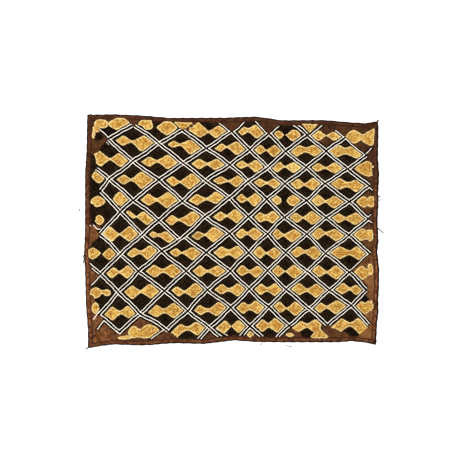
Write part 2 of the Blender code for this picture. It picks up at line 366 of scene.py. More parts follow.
# Loose strand ends beyond the edges, and faint stitches at the left corners: how thick, and the
# x, y and z of the points of each
STRANDS = (
    (0.5, ((318, 110, 1.2), (313, 102, 1.6), (306, 97, 1.4), (300, 96, 1.6))),
    (1.3, ((302, 71.5, 2.6), (306, 72, 2.2), (310, 71.5, 1.4))),
    (1.1, ((303, 64, 2.4), (307, 64, 2.0), (310.5, 66, 1.4))),
    (2.0, ((301, 8, 2.4), (308, 2, 1.8), (315, -4, 1.2))),
    (0.5, ((312, 0, 1.2), (318, -10, 0.8), (314, -20, 0.8), (308, -21, 0.8))),
    (0.9, ((299, -226, 1.2), (306, -231, 0.8), (313, -233, 0.8))),
    (1.4, ((64, -233, 0.8), (61, -235, 0.7), (58, -238, 0.7))),
    (1.4, ((112, -236, 0.8), (119, -239, 0.7), (125, -240, 0.7))),
    (1.6, ((-317, 45, 0.9), (-315, 45, 1.6), (-315, 42.5, 1.2), (-316.5, 43, 0.9))),
    (0.6, ((-316, 43, 1.0), (-313, 37, 0.6), (-310, 31, 0.7), (-307, 33, 0.8), (-307, 38, 0.8))),
    (1.7, ((-303, -47, 2.0), (-307, -52, 1.6), (-306, -59, 1.2), (-308, -67, 1.0))),
    (2.2, ((-296, -240, 2.0), (-299, -243, 1.5), (-303, -244, 1.2))),
    (2.8, ((-292, 237, 2.6), (-292, 241, 2.0), (-291, 243, 1.5))),
    (2.8, ((302, 225, 2.4), (303.5, 229, 1.8), (304.5, 231, 1.5))),
)
FAINT_STITCHES = (
    (0.9, ((-273.5, 204.6, 3.0), (-265.5, 197.5, 3.2), (-257.5, 190.5, 3.0))),
    (1.1, ((-267, -170, 1.5), (-278, -184, 1.5), (-289, -197, 1.5))),
    (1.1, ((-274, -190, 1.5), (-281, -201, 1.5), (-288, -214, 1.5))),
)

# The camera, as far above the cloth as the photograph's crop asks
CAMERA_X = -3.1
CAMERA_Y = 2.1
CAMERA_HEIGHT = 2253.7
LENS = 85
SENSOR = 36

# The lamp, in metres, and how bright a level white sheet looks in the scene's light
LAMP_PLACE = (-1.3, 1.3, 3.2)
LAMP_SIZE = 1.8
LAMP_POWER = 130
LIGHT_LEVEL = 1.47

# The floor, which lies a hair under the cloth
FLOOR_HALF_SIZE = 6000
FLOOR_DROP = 0.05


def through_three(first, middle, last, share):
    """The smooth curve through a start, a middle and an end value, at a share of the way."""
    bow = middle - (first + last) / 2
    return first + (last - first) * share + 4 * bow * share * (1 - share)


def along_edge(edge, place):
    """How far out one edge of the cloth lies at places along it."""
    places, outs = np.array(edge, dtype=float).T
    return np.interp(place, places, outs)


def wander(x, y):
    """How far the hand strayed at each place, right and up: waves of well under a stitch. Their
    lengths are uneven, so that they never fall in step with the lattice."""
    right = 0.7 * np.sin(x / 11.3 + y / 17.1 + 1.3) + 0.5 * np.sin(y / 7.9 - x / 23.0)
    up = 0.7 * np.sin(y / 12.7 - x / 15.9 + 0.4) + 0.5 * np.sin(x / 8.3 + y / 29.0 + 2.1)
    return right, up


def listed(table, column, row, usual):
    """What a table says of the diamond or crossing at a column and row, or else what is usual."""
    for entry in table:
        if entry[:2] == (column, row):
            return entry[2:]
    return usual


def lattice_place(column, row):
    """The x and y of a crossing of the lattice."""
    columns = np.array(COLUMNS, dtype=float)
    down = (row - FIRST_ROW) / (LAST_ROW - FIRST_ROW)
    across = through_three(columns[:, 1], columns[:, 2], columns[:, 3], down)
    x = float(np.interp(column, columns[:, 0], across))
    rows = np.array(ROWS, dtype=float)
    heights = through_three(rows[:, 1], rows[:, 2], rows[:, 3], column / LAST_COLUMN)
    y = float(np.interp(row, rows[:, 0], heights))
    right, up = listed(PULLED_CROSSINGS, column, row, (0, 0))
    return np.array((x + right, y + up))


def band_ends(first, second):
    """The ends of the stretch of band between two crossings."""
    ends = [lattice_place(*first), lattice_place(*second)]
    for column, row, right, up, other_column, other_row, other_right, other_up in STRAYED_BANDS:
        strays = {(column, row): (right, up), (other_column, other_row): (other_right, other_up)}
        if strays.keys() == {first, second}:
            ends = [end + strays[crossing] for end, crossing in zip(ends, (first, second))]
    return ends


def rounded_meet(first, second, radius):
    """The depth inside two overlapping areas whose common corner is rounded off."""
    near = (first < radius) & (second < radius)
    corner = radius - np.hypot(np.maximum(radius - first, 0), np.maximum(radius - second, 0))
    return np.where(near, corner, np.minimum(first, second))


class Cell:
    """One diamond of the lattice: its corners, its bands and how its pile is laid out."""

    def __init__(self, column, row, pile, sides):
        self.pile = pile
        crossings = {
            "left": (column - 1, row),
            "top": (column, row - 1),
            "right": (column + 1, row),
            "bottom": (column, row + 1),
        }
        self.corners = {name: lattice_place(*crossing) for name, crossing in crossings.items()}
        left, top, right, bottom = self.corners.values()
        self.sides = sides.split()
        self.edges = {
            side: self.edge(*band_ends(crossings[first], crossings[second]))
            for side, (first, second) in SIDE_ENDS.items()
        }
        self.half_width = np.linalg.norm(right - left) / 2
        self.half_height = np.linalg.norm(top - bottom) / 2
        self.reach = 1 / np.hypot(1 / self.half_width, 1 / self.half_height)
        for measure, (usual, spread) in COMMON_DIAMOND.items():
            setattr(self, measure, DRAWS.normal(usual, spread))
        neck = (max(THINNEST_NECK, self.neck), self.neck_across, self.neck_up)
        room = np.interp(column, ROOM_COLUMNS, ROOMS)
        uneven = ROOM_SPREAD * np.sin(2.3 * column + 1.7 * row)
        lobes = (self.left_slope, self.right_slope, room + uneven)
        self.neck, self.neck_across, self.neck_up = listed(NECKS, column, row, neck)
        self.left_slope, self.right_slope, self.left_room = listed(LOBES, column, row, lobes)

    @staticmethod
    def edge(start, end):
        """A point on an edge and the direction from the edge into the diamond."""
        along = (end - start) / np.linalg.norm(end - start)
        return start, np.array((along[1], -along[0]))

    def depth_from(self, side, points):
        start, inwards = self.edges[side]
        return (points - start) @ inwards

    def holds(self, points):
        return np.all([self.depth_from(side, points) >= 0 for side in self.edges], axis=0)

    def band_depth(self, points):
        """How far points lie from the nearest band of the diamond."""
        depths = [self.depth_from(side, points) for side in self.sides]
        return np.min(depths, axis=0) if depths else np.full(len(points), FAR)

    def places(self, points):
        """How far right of and above the diamond's middle points lie, from -1 to 1."""
        top_left, top_right, bottom_right, bottom_left = (
            self.depth_from(side, points) for side in ("tl", "tr", "br", "bl")
        )
        rising = bottom_left / (bottom_left + top_right)
        falling = top_left / (top_left + bottom_right)
        return rising + falling - 1, rising - falling

    def ochre_depth(self, points):
        """How far inside the two ochre lobes and their neck points lie."""
        across, up = self.places(points)
        across = across - self.neck_across
        up = up - self.neck_up - self.lean * across
        slope = np.where(across < 0, self.left_slope, self.right_slope)
        neck = self.neck / self.reach
        opening = np.sqrt(neck**2 + (slope * across) ** 2)
        lobe = (opening - np.abs(up)) * self.reach
        rooms = {"tl": self.left_room, "bl": self.left_room}
        depths = [self.depth_from(side, points) - rooms.get(side, 0) for side in self.sides]
        return rounded_meet(lobe, np.min(depths, axis=0) - PILE_START, LOBE_ROUNDING)

    def quarter(self, points):
        """Which letter of the pile each point falls under."""
        across, up = self.places(points)
        sideways = np.where(across < self.neck_across, 0, 2)
        upright = np.where(up > self.neck_up, 1, 3)
        return sideways, upright

    def tip(self, corner, offset):
        """Where two rows of stitches, at an offset from the bands' middles, meet at a corner."""
        first, second = {
            "left": ("bl", "tl"),
            "top": ("tl", "tr"),
            "right": ("tr", "br"),
            "bottom": ("br", "bl"),
        }[corner]
        starts_and_normals = [self.edges[first], self.edges[second]]
        normals = np.array([inwards for _, inwards in starts_and_normals])
        levels = [inwards @ start + offset for start, inwards in starts_and_normals]
        return np.linalg.solve(normals, levels)

    def side_line(self, side, offset):
        """The ends of a row of stitches beside one band of the diamond."""
        first, second = SIDE_ENDS[side]
        return self.tip(first, offset), self.tip(second, offset)


def make_cells():
    """All the diamonds, by column and row."""
    cells = {}
    for row in range(RING_ROWS[0], RING_ROWS[1] + 1):
        for column in range(RING_COLUMNS[0], RING_COLUMNS[1] + 1):
            if (column + row) % 2:
                continue
            in_ring = row in RING_ROWS or column in RING_COLUMNS
            usual = BARE_CELL if in_ring else COMMON_CELL
            cells[column, row] = Cell(column, row, *listed(BORDER_CELLS, column, row, usual))
    return cells


def edge_depths(x, y):
    """How far points lie inside the nearer side edge and inside the nearer end edge."""
    side = np.minimum(x - along_edge(LEFT_EDGE, y), along_edge(RIGHT_EDGE, y) - x)
    end = np.minimum(along_edge(TOP_EDGE, x) - y, y - along_edge(BOTTOM_EDGE, x))
    return side, end


def seam_depth(points):
    """How far inside the hem's seam points lie."""
    side, end = edge_depths(*points.T)
    return np.minimum(side - SIDE_HEM_WIDTH, end - END_HEM_WIDTH)


def hem_share(x, y):
    """How far in from the outer edge points lie, as a share of the hem's width."""
    side, end = edge_depths(x, y)
    return np.minimum(side / SIDE_HEM_WIDTH, end / END_HEM_WIDTH)


def unsewn(points):
    """Whether points lie where the bands stop short."""
    x, y = points.T
    open_ground = np.zeros(len(points), dtype=bool)
    for middle_x, middle_y, half_width, half_height in UNSEWN:
        spread = ((x - middle_x) / half_width) ** 2 + ((y - middle_y) / half_height) ** 2
        open_ground |= spread < 1
    return open_ground


def read_pattern(cells, points):
    """What is worked at each point: O, B or -, how deep it lies in its patch of ochre, how far from
    the nearest band, and how light its diamond is. Black pile fills what the diamonds leave open
    between them, and the margin is bare there."""
    inner = seam_depth(points)
    letters = np.where(inner > WIDEST_MARGIN, "B", "-")
    ochre_depths = np.full(len(points), -FAR)
    band_depths = np.full(len(points), FAR)
    tones = np.zeros(len(points))
    for cell in cells.values():
        lowest = np.min(list(cell.corners.values()), axis=0)
        highest = np.max(list(cell.corners.values()), axis=0)
        close = (points >= lowest - LARGEST_STRAY) & (points <= highest + LARGEST_STRAY)
        near = np.flatnonzero(np.all(close, axis=1))
        held = near[cell.holds(points[near])]
        if not len(held):
            continue
        place = points[held]
        pile = np.array(list(cell.pile))
        sideways, upright = cell.quarter(place)
        letters[held] = np.where(pile[upright] == "O", "-", pile[upright])
        if "O" in cell.pile:
            ochre_depths[held] = np.where(pile[sideways] == "O", cell.ochre_depth(place), -FAR)
        band_depths[held] = cell.band_depth(place)
        tones[held] = cell.tone
    band_depths[unsewn(points)] = FAR
    x, y = points.T
    for pile, middle_x, middle_y, half_width, half_height, power in PATCHES:
        spread = np.abs((x - middle_x) / half_width) ** power
        spread += np.abs((y - middle_y) / half_height) ** power
        inside = (1 - spread ** (1 / power)) * min(half_width, half_height)
        inside = np.minimum(inside, band_depths - PILE_START)
        if pile == "O":
            ochre_depths = np.maximum(ochre_depths, inside)
        else:
            cleared = inside > -PATCH_CLEARANCE
            ochre_depths = np.where(cleared, np.minimum(ochre_depths, -inside), ochre_depths)
            letters[inside > 0] = pile
    ochre_depths = np.minimum(ochre_depths, inner)
    letters[ochre_depths > 0] = "O"
    return letters, ochre_depths, band_depths, tones


def tuft_grid():
    """Points in close rows over the whole cloth, each a little out of place."""
    rows = np.arange(-GRID_HALF_HEIGHT, GRID_HALF_HEIGHT + 1, TUFT_PITCH * np.sqrt(3) / 2)
    columns = np.arange(-GRID_HALF_WIDTH, GRID_HALF_WIDTH + 1, TUFT_PITCH)
    x, y = np.meshgrid(columns, rows)
    x[1::2] += TUFT_PITCH / 2
    points = np.column_stack((x.ravel(), y.ravel()))
    return points + DRAWS.normal(0, TUFT_PITCH * TUFT_SPREAD, points.shape)


def plain_mesh_object(name, points, edges=(), faces=(), attributes=None):
    """A mesh object at the origin, its points given in millimetres."""
    mesh = bpy.data.meshes.new(name)
    mesh.from_pydata((np.asarray(points, dtype=float) * MM).tolist(), list(edges), list(faces))
    for key, values in (attributes or {}).items():
        layer = mesh.attributes.new(key, "FLOAT", "POINT")
        layer.data.foreach_set("value", np.asarray(values, dtype=np.float32))
    thing = bpy.data.objects.new(name, mesh)
    bpy.context.scene.collection.objects.link(thing)
    return thing


# Nodes

def add_node(tree, kind, sockets=None, **settings):
    """Adds a node: its settings first, then the values or links of its sockets."""
    node = tree.nodes.new(kind)
    for name, value in settings.items():
        setattr(node, name, value)
    for key, value in (sockets or {}).items():
        if isinstance(value, Number):
            value = value.socket
        if isinstance(value, bpy.types.NodeSocket):
            tree.links.new(value, node.inputs[key])
        else:
            node.inputs[key].default_value = value
    return node


class Number:
    """A socket that carries numbers, so that sums on it are written as plain sums."""

    def __init__(self, tree, socket):
        self.tree = tree
        self.socket = socket

    def joined(self, operation, first, second, clamp=False):
        sockets = {0: first, 1: second}
        node = add_node(self.tree, "ShaderNodeMath", sockets, operation=operation, use_clamp=clamp)
        return Number(self.tree, node.outputs[0])

    def __add__(self, other):
        return self.joined("ADD", self, other)

    def __sub__(self, other):
        return self.joined("SUBTRACT", self, other)

    def __rsub__(self, other):
        return self.joined("SUBTRACT", other, self)

    def __mul__(self, other):
        return self.joined("MULTIPLY", self, other)

    def sine(self):
        return self.joined("SINE", self, 0)

    def size(self):
        return self.joined("ABSOLUTE", self, 0)

    def clamped(self):
        return self.joined("ADD", self, 0, clamp=True)


def seen(red, green, blue):
    """The surface colour that looks like these 0 to 255 values in the scene's light."""
    values = np.array((red, green, blue)) / 255
    linear = np.where(values <= 0.04045, values / 12.92, ((values + 0.055) / 1.055) ** 2.4)
    return (*np.minimum(linear / LIGHT_LEVEL, 0.95), 1)


class Nodes:
    """A node tree under construction."""

    def node(self, kind, sockets=None, **settings):
        return add_node(self.tree, kind, sockets, **settings)

    def number(self, socket):
        return Number(self.tree, socket)


class Finish(Nodes):
    """A material under construction."""

    def __init__(self, name, roughness, sheen=0.0, gloss=0.2):
        self.material = bpy.data.materials.new(name)
        self.material.use_nodes = True
        self.tree = self.material.node_tree
        self.surface = self.tree.nodes["Principled BSDF"]
        self.surface.inputs["Roughness"].default_value = roughness
        self.surface.inputs["Specular IOR Level"].default_value = gloss
        self.surface.inputs["Sheen Weight"].default_value = sheen
        self.coordinates = self.node("ShaderNodeTexCoord").outputs["Object"]

    def place(self):
        """The x, y and z of the point being coloured, in millimetres."""
        split = self.node("ShaderNodeSeparateXYZ", {"Vector": self.coordinates})
        return [self.number(split.outputs[axis]) * (1 / MM) for axis in "XYZ"]

    def noise(self, size, detail=2, stretch=(1, 1, 1)):
        """Cloudy noise from 0 to 1, with patches of a size in millimetres, stretched by axis."""
        scale = [1 / (size * MM * share) for share in stretch]
        sockets = {0: self.coordinates, 1: scale}
        scaled = self.node("ShaderNodeVectorMath", sockets, operation="MULTIPLY")
        sockets = {"Vector": scaled.outputs[0], "Scale": 1.0, "Detail": detail}
        return self.number(self.node("ShaderNodeTexNoise", sockets).outputs[0])

    def attribute(self, name):
        return self.number(self.node("ShaderNodeAttribute", attribute_name=name).outputs["Fac"])

    def mixed(self, share, first, second):
        """The first colour where the share is 0 and the second where it is 1."""
        sockets = {0: share, 6: first, 7: second}
        return self.node("ShaderNodeMix", sockets, data_type="RGBA").outputs[2]

    def layered(self, colour, *layers):
        """The colour with others laid over it in turn, each with the share that it takes."""
        for share, (red, green, blue) in layers:
            colour = self.mixed(share, colour, seen(red, green, blue))
        return colour

    def coloured(self, colour):
        """Gives the surface its colour, which ends the material."""
        self.tree.links.new(colour, self.surface.inputs["Base Color"])
        return self.material

    def bumped(self, height, distance):
        """Raises the surface by a height from 0 to 1 times a distance in millimetres."""
        sockets = {"Height": height, "Distance": distance * MM, "Strength": 1.0}
        bump = self.node("ShaderNodeBump", sockets)
        self.tree.links.new(bump.outputs[0], self.surface.inputs["Normal"])


def steep(number, middle, width):
    """0 below the middle and 1 above it, with a ramp of the given width between."""
    return ((number - middle) * (1 / width) + 0.5).clamped()


def ground_finish():
    """Brown plain-woven raffia, streaked along its strands and darker towards the top, with a
    redder hem whose seam is dark and whose outer edge is dark, partly as dark thread and partly as
    painted shade on the rolled fold. Under the pile it has the colour of the roots, the ochre there
    darkened as painted shade in the gaps between the tufts."""
    finish = Finish("raffia_ground", 0.8, gloss=0.05)
    x, y = finish.place()[:2]
    streaks = finish.noise(1.5, detail=3, stretch=(1, 12, 1))
    cross_streaks = finish.noise(1.7, stretch=(8, 1, 1))
    clouds = finish.noise(16, detail=3)
    blotches = finish.noise(6, detail=3)
    strand = np.pi / 1.1
    over = (x * strand).sine() * (y * strand).sine()
    ridges = (x * strand).sine().size() + (y * strand).sine().size()
    finish.bumped(over * 0.25 + ridges * 0.25 + streaks * 0.3, 0.35)
    hem = finish.attribute("hem")
    low_middle = steep(0 - y, 190, 12) * steep(0 - x.size(), -240, 20) * (1 - hem)
    right_margin = steep(x, 268, 16) * (1 - hem)
    brown = finish.layered(
        seen(76, 40, 16),
        (steep(clouds, 0.5, 0.24), (134, 84, 46)),
        (steep(streaks, 0.55, 0.16) * 0.6, (160, 108, 64)),
        (steep(cross_streaks, 0.57, 0.16) * 0.6, (58, 28, 10)),
    )
    hem_brown = finish.layered(
        seen(80, 40, 14),
        (steep(blotches, 0.5, 0.2), (150, 96, 60)),
        (steep(clouds, 0.56, 0.16) * 0.6, (118, 56, 26)),
        (steep(streaks, 0.58, 0.16) * 0.5, (60, 28, 8)),
    )
    colour = finish.layered(
        finish.mixed(hem, brown, hem_brown),
        (steep(y, 50, 260) * 0.7, (50, 27, 14)),
        (steep(0 - y, 214, 12) * hem * 0.45, (58, 32, 12)),
        (low_middle * 0.6, (60, 32, 22)),
        (right_margin * steep(y, -40, 60) * 0.4, (52, 32, 22)),
        (right_margin * steep(0 - y, 90, 50) * 0.22, (170, 122, 74)),
        (finish.attribute("seam"), (56, 24, 12)),
        # The dark outer edge: partly dark thread, partly painted shade on the rolled fold
        (finish.attribute("edge"), (24, 12, 8)),
        (finish.attribute("black_under"), (14, 8, 4)),
        # The ochre under the pile is darker, as painted shade in the gaps between the tufts
        (finish.attribute("ochre_under"), (150, 104, 44)),
    )
    return finish.coloured(colour)


def ochre_finish():
    """Cut raffia pile, mottled from strand to strand, deeper in the middle of each lobe, darker
    towards its roots as painted shade between the tufts, and pale round its rim."""
    finish = Finish("ochre_pile", 0.85, sheen=0.05)
    light = finish.attribute("tone") * 0.4 + finish.noise(9, detail=3) * 1.8 - 0.9
    broken = steep(finish.noise(6, detail=3), 0.42, 0.3) * 0.55 + 0.25
    # Lower down the tufts the ochre darkens: painted shade at the roots, between the tufts.
    depth = steep(finish.place()[2], (GROUND_TOP + PILE_TOP) / 2, PILE_TOP - GROUND_TOP)
    colour = finish.layered(
        seen(200, 142, 40),
        (steep(light, 0.0, 0.8), (255, 214, 116)),
        (steep(finish.noise(4.2), 0.56, 0.10) * 0.85, (176, 106, 20)),
        (finish.attribute("pale"), (255, 230, 140)),
        (finish.attribute("dull"), (176, 124, 36)),
        (finish.attribute("rim") * broken, (255, 238, 172)),
        (1 - depth, (176, 116, 40)),
    )
    return finish.coloured(colour)


def black_finish():
    """Cut pile dyed black, with a few browner strands."""
    finish = Finish("black_pile", 0.85, gloss=0.05)
    light = finish.attribute("tone") * 0.4 + finish.noise(9, detail=3) * 1.4 - 0.7
    flecks = steep(finish.noise(2.6, detail=1), 0.64, 0.08) * 0.6
    black = seen(13, 4, 0)
    return finish.coloured(
        finish.layered(black, (steep(light, 0.2, 0.7), (42, 27, 8)), (flecks, (88, 68, 40)))
    )


def pale_thread_finish():
    """Undyed raffia, nearly white, soiled here and there."""
    finish = Finish("pale_thread", 0.5)
    wear = finish.noise(7, detail=3) + finish.attribute("tone") * 0.1
    white = (0.93, 0.86, 0.74, 1)
    return finish.coloured(finish.layered(white, (steep(wear, 0.64, 0.18) * 0.7, (240, 212, 170))))


def dark_thread_finish():
    """Raffia dyed black or, where its tone is high, dark brown."""
    finish = Finish("dark_thread", 0.7, gloss=0.05)
    light = finish.attribute("tone") + (finish.noise(6, detail=3) - 0.5) * 1.4
    return finish.coloured(finish.layered(seen(6, 2, 0), (steep(light, 0.55, 0.9), (78, 56, 28))))


def strand_finish():
    """Loose raffia ends, brown to grey."""
    finish = Finish("loose_strand", 0.6)
    wear = steep(finish.noise(4), 0.5, 0.4)
    return finish.coloured(finish.layered(seen(20, 12, 8), (wear, (74, 60, 52))))


def mottled_finish(name, roughness, size, first, second):
    """A plain material that drifts from one colour to the other, in patches of a size."""
    finish = Finish(name, roughness)
    return finish.coloured(finish.mixed(finish.noise(size), first, second))


# Shapes that repeat

class Tree(Nodes):
    """A Geometry Nodes tree under construction, with named inputs for its sizes."""

    def __init__(self, name, sizes):
        self.tree = bpy.data.node_groups.new(name, "GeometryNodeTree")
        interface = self.tree.interface
        interface.new_socket("Geometry", in_out="INPUT", socket_type="NodeSocketGeometry")
        self.identifiers = {}
        for size, value in sizes.items():
            kind = "NodeSocketInt" if isinstance(value, int) else "NodeSocketFloat"
            socket = interface.new_socket(size, in_out="INPUT", socket_type=kind)
            self.identifiers[size] = socket.identifier
        interface.new_socket("Geometry", in_out="OUTPUT", socket_type="NodeSocketGeometry")
        self.inputs = self.node("NodeGroupInput").outputs
        self.sizes = sizes

    def size(self, name):
        return self.number(self.inputs[name])

    def vector(self, x, y, z):
        return self.node("ShaderNodeCombineXYZ", {"X": x, "Y": y, "Z": z}).outputs[0]

    def random_number(self, low, high, seed):
        sockets = {2: low, 3: high, "Seed": seed}
        node = self.node("FunctionNodeRandomValue", sockets, data_type="FLOAT")
        return self.number(node.outputs[1])

    def random_vector(self, ranges, seed):
        """A vector whose three parts are random, each between its own bounds."""
        parts = [self.random_number(*bounds, seed + part) for part, bounds in enumerate(ranges)]
        return self.vector(*parts)

    def passed(self, kind, geometry, sockets=None, **settings):
        """What a geometry node makes of some geometry."""
        sockets = {0: geometry, **(sockets or {})}
        return self.node(f"GeometryNode{kind}", sockets, **settings).outputs[0]

    def stepped(self, curve):
        """A curve with its points one step apart."""
        return self.passed("ResampleCurve", curve, {"Length": self.inputs["Step"]}, mode="LENGTH")

    def grown(self, thing, geometry, material):
        """Ends the tree with real geometry and its material, runs it on an object and leaves the
        result as the object's plain mesh."""
        real = self.passed("RealizeInstances", geometry)
        painted = self.passed("SetMaterial", real, {"Material": material})
        self.node("NodeGroupOutput", {"Geometry": painted})
        modifier = thing.modifiers.new(self.tree.name, "NODES")
        modifier.node_group = self.tree
        for size, value in self.sizes.items():
            modifier[self.identifiers[size]] = value
        bpy.context.view_layer.update()
        graph = bpy.context.evaluated_depsgraph_get()
        mesh = bpy.data.meshes.new_from_object(
            thing.evaluated_get(graph), preserve_all_data_layers=True, depsgraph=graph
        )
        thing.modifiers.remove(modifier)
        thing.data = mesh
        mesh.name = thing.name
        return thing


def grow_tufts(thing, material, seed):
    """Stands a short ragged tuft of cut pile on each point."""
    tree = Tree(
        "cut_pile",
        {
            "Sides": 5,
            "Root radius": 0.75 * MM,
            "Tip radius": 1.3 * MM,
            "Height": (PILE_TOP - GROUND_TOP) * MM,
            "Raggedness": 0.34 * MM,
            "Tilt": 0.16,
        },
    )
    height = tree.size("Height")
    sockets = {
        "Vertices": tree.inputs["Sides"],
        "Radius Top": tree.inputs["Tip radius"],
        "Radius Bottom": tree.inputs["Root radius"],
        "Depth": height,
    }
    tuft = tree.node("GeometryNodeMeshCone", sockets, fill_type="NGON").outputs["Mesh"]
    tilt = tree.size("Tilt")
    turn = tree.random_vector(((0 - tilt, tilt), (0 - tilt, tilt), (0.0, 2 * np.pi)), seed)
    scale = tree.random_vector(((0.85, 1.12), (0.85, 1.12), (0.82, 1.04)), seed + 3)
    sockets = {"Instance": tuft, "Rotation": turn, "Scale": scale}
    stood = tree.passed("InstanceOnPoints", tree.inputs["Geometry"], sockets)
    real = tree.passed("RealizeInstances", stood)
    position = tree.node("GeometryNodeInputPosition").outputs[0]
    up = tree.node("ShaderNodeSeparateXYZ", {"Vector": position}).outputs["Z"]
    sockets = {0: up, 1: height * 0.5 + GROUND_TOP * MM}
    settings = {"data_type": "FLOAT", "operation": "GREATER_THAN"}
    above_roots = tree.node("FunctionNodeCompare", sockets, **settings).outputs[0]
    rag = tree.size("Raggedness")
    stray = tree.random_vector(((0 - rag, rag), (0 - rag, rag), (0 - rag, rag * 0.6)), seed + 6)
    ragged = tree.passed("SetPosition", real, {"Selection": above_roots, "Offset": stray})
    return tree.grown(thing, ragged, material)


def grow_stitches(thing, material, seed, step, length, thickness, rings, slant):
    """Sews a row of stitches along each line of the object."""
    tree = Tree(
        "stem_stitch",
        {
            "Step": step * MM,
            "Half length": length / 2 * MM,
            "Half thickness": thickness / 2 * MM,
            "Sides": STITCH_SIDES,
            "Rings": rings,
            "Slant": slant,
        },
    )
    line = tree.stepped(tree.passed("MeshToCurve", tree.inputs["Geometry"]))
    tangent = tree.node("GeometryNodeInputTangent").outputs[0]
    angle = tree.size("Slant") + tree.random_number(-0.07, 0.07, seed)
    sockets = {"Vector": tangent, "Angle": angle}
    slanted = tree.node("ShaderNodeVectorRotate", sockets, rotation_type="Z_AXIS").outputs[0]
    turn = tree.node("FunctionNodeAlignRotationToVector", {"Vector": slanted}, axis="Z").outputs[0]
    thick = tree.size("Half thickness") * tree.random_number(0.88, 1.12, seed + 1)
    long = tree.size("Half length") * tree.random_number(0.9, 1.12, seed + 2)
    scale = tree.vector(thick, thick, long)
    sockets = {"Segments": tree.inputs["Sides"], "Rings": tree.inputs["Rings"], "Radius": 1.0}
    stitch = tree.node("GeometryNodeMeshUVSphere", sockets).outputs["Mesh"]
    sockets = {"Instance": stitch, "Rotation": turn, "Scale": scale}
    return tree.grown(thing, tree.passed("InstanceOnPoints", line, sockets), material)


def grow_strand(thing, material, thickness):
    """Makes each line of the object a thin strand with a smooth bend."""
    tree = Tree("loose_strand", {"Radius": thickness / 2 * MM, "Step": 1.0 * MM, "Sides": 6})
    line = tree.passed("MeshToCurve", tree.inputs["Geometry"])
    smooth = tree.passed("CurveSplineType", line, spline_type="CATMULL_ROM")
    sockets = {"Resolution": tree.inputs["Sides"], "Radius": tree.inputs["Radius"]}
    ring = tree.node("GeometryNodeCurvePrimitiveCircle", sockets).outputs[0]
    sockets = {"Profile Curve": ring, "Fill Caps": True}
    tube = tree.passed("CurveToMesh", tree.stepped(smooth), sockets)
    return tree.grown(thing, tube, material)


# Pieces

class Lines:
    """Rows of stitches, gathered before they are sewn as one piece."""

    def __init__(self):
        self.points = []
        self.edges = []
        self.tones = []

    def add(self, ends, height, tone=PLAIN_TONE, keep=None):
        """Adds a line through some points. It is left out where keep says so, and wanders a little
        as the rest of the work does."""
        ends = [np.asarray(end, dtype=float) for end in ends]
        stretches = []
        for start, end in zip(ends, ends[1:]):
            count = max(2, int(np.linalg.norm(end - start) / LINE_STEP))
            stretches.append(start + (end - start) * np.linspace(0, 1, count)[:, None])
        path = np.vstack(stretches)
        kept = np.ones(len(path), dtype=bool) if keep is None else keep(path)
        right, up = wander(*path.T)
        along = np.arange(len(path)) * LINE_STEP / RIPPLE_LENGTH
        up = up + RIPPLE * np.sin(along + DRAWS.uniform(0, 2 * np.pi))
        base = len(self.points)
        for (x, y), more_x, more_y in zip(path, right, up):
            self.points.append((x + more_x, y + more_y, height))
            self.tones.append(tone)
        for i in range(len(path) - 1):
            if kept[i] and kept[i + 1]:
                self.edges.append((base + i, base + i + 1))

    def thing(self, name):
        points = np.array(self.points)
        edges = np.array(self.edges)
        used, flat = np.unique(edges, return_inverse=True)
        edges = flat.reshape(edges.shape)
        tones = np.array(self.tones)[used]
        return plain_mesh_object(name, points[used], edges.tolist(), attributes={"tone": tones})


def inside_cloth(margin):
    """Whether the points of a line lie on the cloth, inside the seam by a ragged margin, and where
    the bands are sewn."""
    ragged = margin + DRAWS.uniform(0, RAGGED_MARGIN)

    def keep(path):
        return (seam_depth(path) > ragged) & ~unsewn(path)

    return keep


def sew_bands(cells):
    """The pale and dark rows that run beside the middle of every band."""
    pale = Lines()
    dark = Lines()
    for cell in cells.values():
        for side in cell.sides:
            line = cell.side_line(side, PALE_ROW)
            pale.add(line, PALE_HEIGHT, keep=inside_cloth(PALE_MARGIN))
            dark_rows = [(DARK_ROW, BROWNISH_TONE), (OUTLINE_ROW, PLAIN_TONE)]
            if "-" in cell.pile:
                dark_rows.append((SECOND_OUTLINE_ROW, BROWNISH_TONE))
            for offset, tone in dark_rows:
                line = cell.side_line(side, offset)
                dark.add(line, DARK_HEIGHT, tone, inside_cloth(DARK_MARGIN))
    for rising, crossings in ((True, RISING_OVER), (False, FALLING_OVER)):
        for column, row in crossings:
            left = cells[column - 1, row].tip("right", PALE_ROW)
            right = cells[column + 1, row].tip("left", PALE_ROW)
            above = cells[column, row - 1].tip("bottom", PALE_ROW)
            below = cells[column, row + 1].tip("top", PALE_ROW)
            pairs = ((left, above), (below, right)) if rising else ((left, below), (above, right))
            for pair in pairs:
                pale.add(pair, CROSSED_HEIGHT, keep=inside_cloth(PALE_MARGIN))
    for line in ODD_PALE_LINES:
        pale.add(line, ODD_LINE_HEIGHT)
    return pale, dark


def sew_chevrons(cells):
    """The flat rows that fill the black ends of the diamonds, by turns nearly black and brown."""
    chevrons = Lines()
    for cell in cells.values():
        if "B" not in cell.pile or not cell.sides:
            continue
        for number, offset in enumerate(CHEVRON_ROWS):

            def keep(path, cell=cell, inside=inside_cloth(FILLED_MARGIN)):
                letters = read_pattern({0: cell}, path)[0]
                return (letters == "B") & inside(path)

            tone = BROWN_TONE if number % 2 else BROWNISH_TONE
            for side in cell.sides:
                line = cell.side_line(side, offset)
                chevrons.add(line, CHEVRON_HEIGHT, DRAWS.normal(tone, ROW_TONE_SPREAD), keep)
    return chevrons


